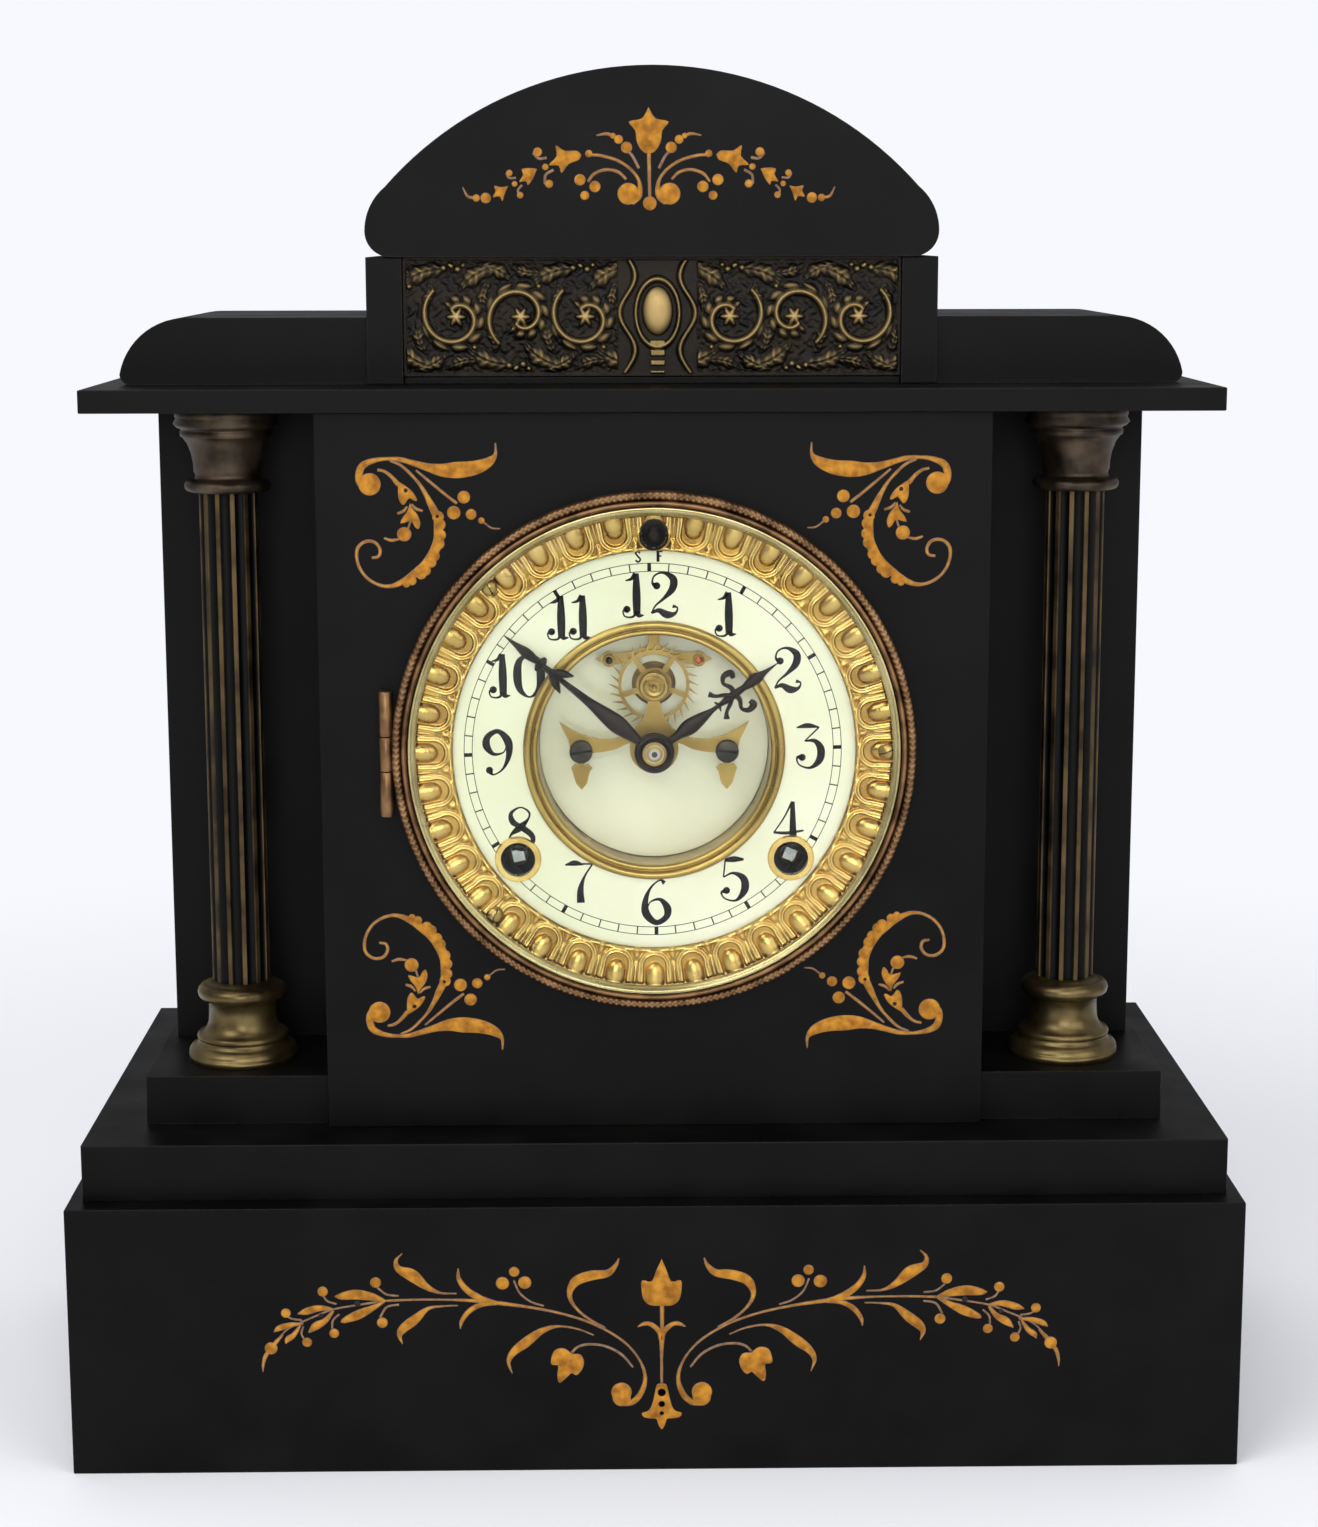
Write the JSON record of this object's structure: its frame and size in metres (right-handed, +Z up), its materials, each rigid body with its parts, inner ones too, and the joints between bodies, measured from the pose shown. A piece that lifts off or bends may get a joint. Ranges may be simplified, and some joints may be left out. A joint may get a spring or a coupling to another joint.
{
  "type": "mantel clock",
  "caption": "Black slate temple-front mantel clock with fluted brass columns, an arched pediment, a gilt-ringed porcelain dial and an open escapement.",
  "frame": {"origin": "middle of the plinth's underside, under the middle of the overall box", "axes": "+Z up, +X to the right as seen from the front, +Y to the back; the dial faces -Y"},
  "size_m": [0.336, 0.16, 0.3978],
  "materials": {
    "black_slate": "polished, softly worn",
    "bronzed_metal": "brown patina",
    "aged_brass": "brown patina",
    "gilt_brass": "bright lacquer",
    "bezel_brass": "worn lacquer",
    "bezel_glass": "bevelled",
    "dial_porcelain": "gloss",
    "movement_brass": "satin",
    "steel": "satin",
    "blued_steel": "dark blued",
    "gong_steel": "blued",
    "cast_iron": "black paint"
  },
  "bodies": {
    "case": {"plinth_front": "black_slate", "plinth_carcass": "black_slate", "lower_step": "black_slate", "upper_step": "black_slate", "front_panel": "black_slate", "front_cheeks": "black_slate", "recess_panels": "black_slate", "case_sides": "black_slate", "back_panel": "black_slate", "cornice": "black_slate", "frieze_uprights": "black_slate", "frieze_block": "black_slate", "relief_panel": "bronzed_metal", "attic_wings": "black_slate", "pediment": "black_slate", "column_bases": "aged_brass", "column_shafts": "aged_brass", "column_capitals": "aged_brass", "gilt_dial_ring": "gilt_brass", "chapter_ring": "dial_porcelain", "recess_ring": "gilt_brass", "centre_porcelain": "dial_porcelain", "winding_grommets": "gilt_brass", "bezel_hinge": "bezel_brass", "rear_door_hinge": "bezel_brass", "front_plate": "movement_brass", "back_plate": "movement_brass", "plate_pillars": "movement_brass", "escapement_bridge": "movement_brass", "verge_bridge": "movement_brass", "bridge_screws": "steel", "suspension_post": "movement_brass", "mainsprings": "steel", "gong_coil": "gong_steel", "gong_stand": "cast_iron"},
    "bezel": {"bezel_rim": "bezel_brass", "bezel_glass": "bezel_glass"},
    "rear_door": {"rear_door": "bezel_brass"},
    "minute_work": {"centre_arbor": "steel", "minute_hand": "blued_steel"},
    "hour_work": {"hour_wheel": "movement_brass", "hour_hand": "blued_steel"},
    "minute_wheel": {"minute_wheel": "movement_brass"},
    "time_great_wheel": {"time_great_wheel": "movement_brass"},
    "time_second_wheel": {"time_second_wheel": "movement_brass"},
    "time_third_wheel": {"time_third_wheel": "movement_brass"},
    "escape_wheel": {"escape_wheel": "movement_brass"},
    "time_winding_arbor": {"time_winding_arbor": "steel"},
    "strike_winding_arbor": {"strike_winding_arbor": "steel"},
    "pendulum": {"pendulum_rod": "steel", "pendulum_bob": "movement_brass"},
    "verge": {"verge": "movement_brass"},
    "regulator_arbor": {"regulator_arbor": "steel"},
    "suspension_fork": {"suspension_fork": "movement_brass"},
    "strike_pin_wheel": {"strike_pin_wheel": "movement_brass"},
    "strike_great_wheel": {"strike_great_wheel": "movement_brass"},
    "strike_warning_wheel": {"strike_warning_wheel": "movement_brass"},
    "strike_fly": {"strike_fly": "steel"},
    "strike_hammer": {"strike_hammer": "steel"},
    "strike_release_lever": {"strike_release_lever": "steel"}
  },
  "joints": [
    {"name": "bezel_swing", "type": "hinge", "parent": "case", "child": "bezel", "pos_m": [-0.0764, -0.0579, 0.20625], "axis": [0, 0, -1], "range_deg": [0, 110]},
    {"name": "rear_door_swing", "type": "hinge", "parent": "case", "child": "rear_door", "pos_m": [0.0646, 0.0779, 0.20625], "axis": [0, 0, -1], "range_deg": [0, 110]},
    {"name": "minute_arbor_spin", "type": "hinge", "parent": "case", "child": "minute_work", "pos_m": [0, -0.0335, 0.20625], "axis": [0, 1, 0], "continuous": true},
    {"name": "hour_pipe_spin", "type": "hinge", "parent": "case", "child": "hour_work", "pos_m": [0, -0.0335, 0.20625], "axis": [0, 1, 0], "continuous": true},
    {"name": "minute_wheel_spin", "type": "hinge", "parent": "case", "child": "minute_wheel", "pos_m": [0, -0.0335, 0.19425], "axis": [0, 1, 0], "continuous": true},
    {"name": "time_great_spin", "type": "hinge", "parent": "case", "child": "time_great_wheel", "pos_m": [0.0391, -0.0335, 0.17495], "axis": [0, 1, 0], "continuous": true},
    {"name": "time_second_spin", "type": "hinge", "parent": "case", "child": "time_second_wheel", "pos_m": [0.022, -0.0335, 0.19425], "axis": [0, 1, 0], "continuous": true},
    {"name": "time_third_spin", "type": "hinge", "parent": "case", "child": "time_third_wheel", "pos_m": [-0.01443, -0.0335, 0.21624], "axis": [0, 1, 0], "continuous": true},
    {"name": "escape_spin", "type": "hinge", "parent": "case", "child": "escape_wheel", "pos_m": [0, -0.0335, 0.22425], "axis": [0, 1, 0], "continuous": true},
    {"name": "time_winding_turn", "type": "hinge", "parent": "case", "child": "time_winding_arbor", "pos_m": [0.0391, -0.0335, 0.17495], "axis": [0, 1, 0], "range_deg": [0, 2880]},
    {"name": "strike_winding_turn", "type": "hinge", "parent": "case", "child": "strike_winding_arbor", "pos_m": [-0.0391, -0.0335, 0.17495], "axis": [0, 1, 0], "range_deg": [0, 2880]},
    {"name": "pendulum_swing", "type": "hinge", "parent": "case", "child": "pendulum", "pos_m": [0, 0.0135, 0.25025], "axis": [0, 1, 0], "range_deg": [-2, 2]},
    {"name": "verge_rock", "type": "hinge", "parent": "case", "child": "verge", "pos_m": [0, -0.0335, 0.25025], "axis": [0, 1, 0], "range_deg": [-2, 2]},
    {"name": "regulator_turn", "type": "hinge", "parent": "case", "child": "regulator_arbor", "pos_m": [0, -0.0335, 0.26765], "axis": [0, 1, 0], "range_deg": [-720, 720]},
    {"name": "suspension_fork_slide", "type": "slide", "parent": "case", "child": "suspension_fork", "axis": [0, 0, 1], "range_m": [-0.0012, 0.0012]},
    {"name": "strike_pin_spin", "type": "hinge", "parent": "case", "child": "strike_pin_wheel", "pos_m": [-0.022, -0.0335, 0.19425], "axis": [0, 1, 0], "continuous": true},
    {"name": "strike_great_spin", "type": "hinge", "parent": "case", "child": "strike_great_wheel", "pos_m": [-0.0391, -0.0335, 0.17495], "axis": [0, 1, 0], "continuous": true},
    {"name": "strike_warning_spin", "type": "hinge", "parent": "case", "child": "strike_warning_wheel", "pos_m": [-0.036, -0.0335, 0.21025], "axis": [0, 1, 0], "continuous": true},
    {"name": "strike_fly_spin", "type": "hinge", "parent": "case", "child": "strike_fly", "pos_m": [-0.036, -0.0335, 0.22225], "axis": [0, 1, 0], "continuous": true},
    {"name": "strike_hammer_lift", "type": "hinge", "parent": "case", "child": "strike_hammer", "pos_m": [-0.008, -0.0335, 0.16625], "axis": [0, -1, 0], "range_deg": [0, 12], "stiffness_Nm_per_rad": 0.05, "springref_deg": -5.73},
    {"name": "strike_release_lift", "type": "hinge", "parent": "case", "child": "strike_release_lever", "pos_m": [-0.006, -0.0335, 0.23625], "axis": [0, 1, 0], "range_deg": [0, 8]}
  ],
  "couplings": [
    {"joint": "hour_pipe_spin", "follows": "minute_arbor_spin", "ratio": 0.083333},
    {"joint": "minute_wheel_spin", "follows": "minute_arbor_spin", "ratio": -0.33333},
    {"joint": "time_second_spin", "follows": "minute_arbor_spin", "ratio": -0.33333},
    {"joint": "time_great_spin", "follows": "minute_arbor_spin", "ratio": 0.083333},
    {"joint": "time_third_spin", "follows": "minute_arbor_spin", "ratio": -12},
    {"joint": "escape_spin", "follows": "minute_arbor_spin", "ratio": 180},
    {"joint": "verge_rock", "follows": "pendulum_swing", "ratio": 1},
    {"joint": "strike_great_spin", "follows": "strike_pin_spin", "ratio": -0.125},
    {"joint": "strike_warning_spin", "follows": "strike_pin_spin", "ratio": -8},
    {"joint": "strike_fly_spin", "follows": "strike_pin_spin", "ratio": 48}
  ]
}
